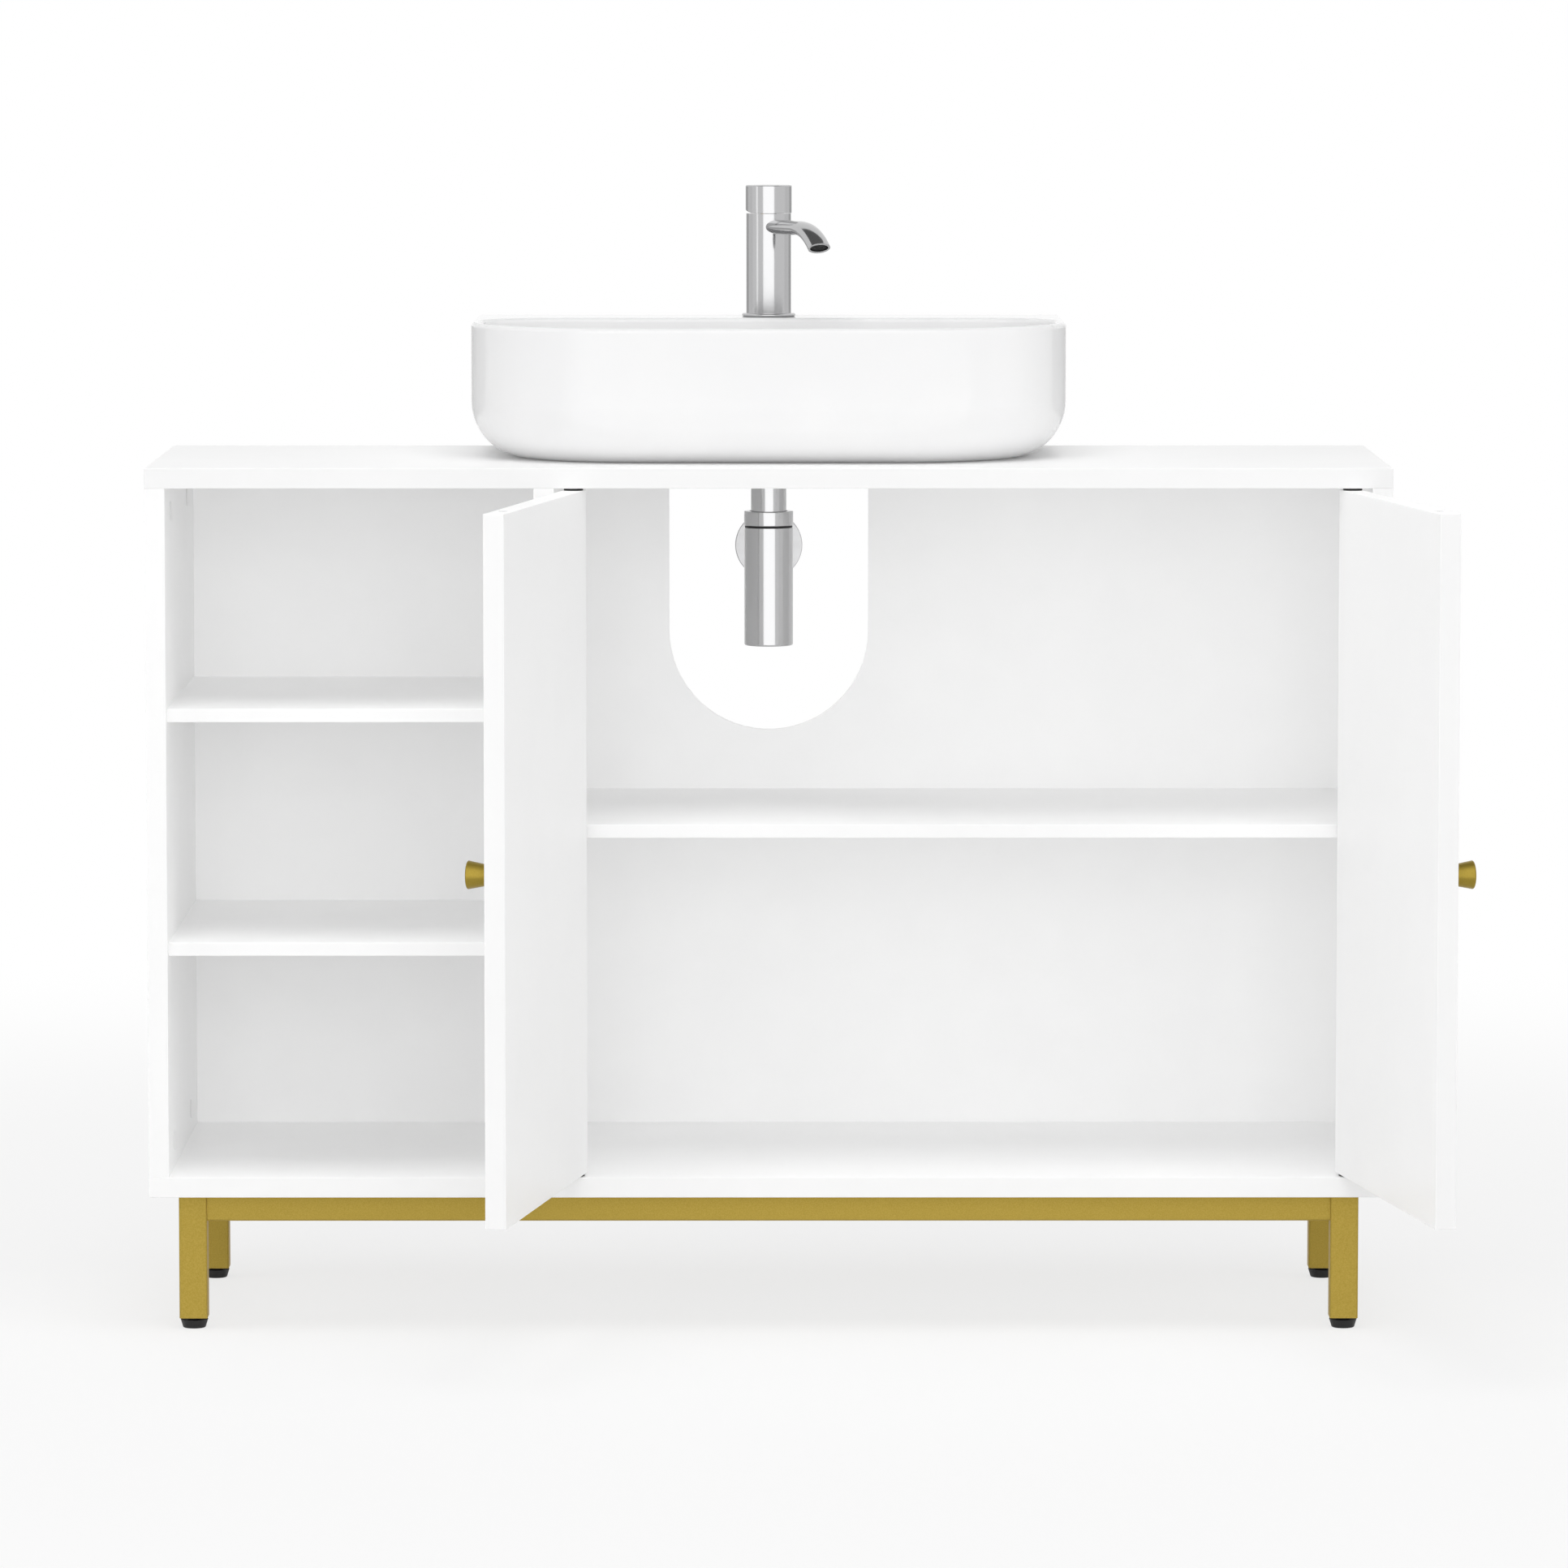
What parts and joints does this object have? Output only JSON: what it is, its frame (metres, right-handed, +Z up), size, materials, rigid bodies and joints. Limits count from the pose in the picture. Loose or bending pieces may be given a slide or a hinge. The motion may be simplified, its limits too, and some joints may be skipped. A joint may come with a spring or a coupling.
{
  "type": "washbasin base cabinet",
  "caption": "Low wide washbasin cabinet on a square-tube base, with an open shelved bay, a bay behind pivoted doors, a vessel basin, a mixer tap and a bottle trap.",
  "frame": {"origin": "on the floor, at the centre of the cabinet's footprint", "axes": "+X to the viewer's right when facing the front, +Y towards the wall, +Z up"},
  "size_m": [1.1504, 0.6998, 1.0111],
  "materials": {
    "white_board": "white painted board, matt",
    "white_back": "thin white board, matt",
    "gold_metal": "brushed gold coating",
    "black_plastic": "moulded",
    "plated_steel": "zinc plated",
    "zinc": "cast, plated",
    "beech": "plain",
    "magnet": "nickel plated",
    "white_ceramic": "glossy glaze",
    "chrome": "polished",
    "brass": "turned",
    "grey_plastic": "moulded"
  },
  "bodies": {
    "carcass": {"top_panel": "white_board", "bottom_panel": "white_board", "side_left": "white_board", "side_right": "white_board", "divider": "white_board", "back_panel": "white_back", "shelf_left_upper": "white_board", "shelf_left_lower": "white_board", "shelf_right": "white_board", "dowels": "beech", "cam_bolts": "plated_steel", "cam_locks": "zinc", "back_screws": "plated_steel", "pivot_pins": "plated_steel", "catch_magnets": "magnet", "leg_front_left": "gold_metal", "leg_front_right": "gold_metal", "leg_back_left": "gold_metal", "leg_back_right": "gold_metal", "rail_front": "gold_metal", "rail_back": "gold_metal", "rail_left": "gold_metal", "rail_right": "gold_metal", "leg_inserts": "black_plastic", "base_screws": "plated_steel", "basin": "white_ceramic", "waste_body": "chrome", "waste_nut": "brass", "trap_tailpiece": "chrome", "trap_collar_nut": "chrome", "trap_cup": "chrome", "trap_outlet_pipe": "chrome", "wall_flange": "chrome", "tap_body": "chrome", "tap_base_ring": "chrome", "tap_spout": "chrome", "spout_outlet": "black_plastic", "tap_cartridge": "grey_plastic", "tap_fixing_nut": "plated_steel"},
    "door_left": {"door_left": "white_board", "pivot_bushes_left": "black_plastic", "knob_left": "gold_metal", "knob_stud_left": "plated_steel", "magnet_left": "magnet"},
    "door_right": {"door_right": "white_board", "pivot_bushes_right": "black_plastic", "knob_right": "gold_metal", "knob_stud_right": "plated_steel", "magnet_right": "magnet"},
    "foot_front_left": {"foot_front_left": "black_plastic", "foot_stud_front_left": "plated_steel"},
    "foot_front_right": {"foot_front_right": "black_plastic", "foot_stud_front_right": "plated_steel"},
    "foot_back_left": {"foot_back_left": "black_plastic", "foot_stud_back_left": "plated_steel"},
    "foot_back_right": {"foot_back_right": "black_plastic", "foot_stud_back_right": "plated_steel"},
    "waste_plug": {"waste_plug": "chrome"},
    "tap_spindle": {"tap_spindle": "brass"},
    "tap_handle": {"tap_handle": "chrome"}
  },
  "joints": [
    {"name": "door_left_hinge", "type": "hinge", "parent": "carcass", "child": "door_left", "pos_m": [-0.172, -0.176, 0.446], "axis": [0, 0, -1], "range_deg": [-100, 15]},
    {"name": "door_right_hinge", "type": "hinge", "parent": "carcass", "child": "door_right", "pos_m": [0.515, -0.176, 0.446], "axis": [0, 0, 1], "range_deg": [-100, 15]},
    {"name": "foot_front_left_height", "type": "slide", "parent": "carcass", "child": "foot_front_left", "axis": [0, 0, -1], "range_m": [0, 0.01]},
    {"name": "foot_front_right_height", "type": "slide", "parent": "carcass", "child": "foot_front_right", "axis": [0, 0, -1], "range_m": [0, 0.01]},
    {"name": "foot_back_left_height", "type": "slide", "parent": "carcass", "child": "foot_back_left", "axis": [0, 0, -1], "range_m": [0, 0.01]},
    {"name": "foot_back_right_height", "type": "slide", "parent": "carcass", "child": "foot_back_right", "axis": [0, 0, -1], "range_m": [0, 0.01]},
    {"name": "waste_plug_push", "type": "slide", "parent": "carcass", "child": "waste_plug", "axis": [0, 0, 1], "range_m": [0, 0.008]},
    {"name": "tap_temperature", "type": "hinge", "parent": "carcass", "child": "tap_spindle", "pos_m": [0, 0.145, 0.9867], "axis": [0, 0, 1], "range_deg": [-45, 45]},
    {"name": "tap_flow", "type": "hinge", "parent": "tap_spindle", "child": "tap_handle", "pos_m": [0, 0.145, 0.9867], "axis": [-0.9063, -0.4226, 0], "range_deg": [0, 16]}
  ]
}
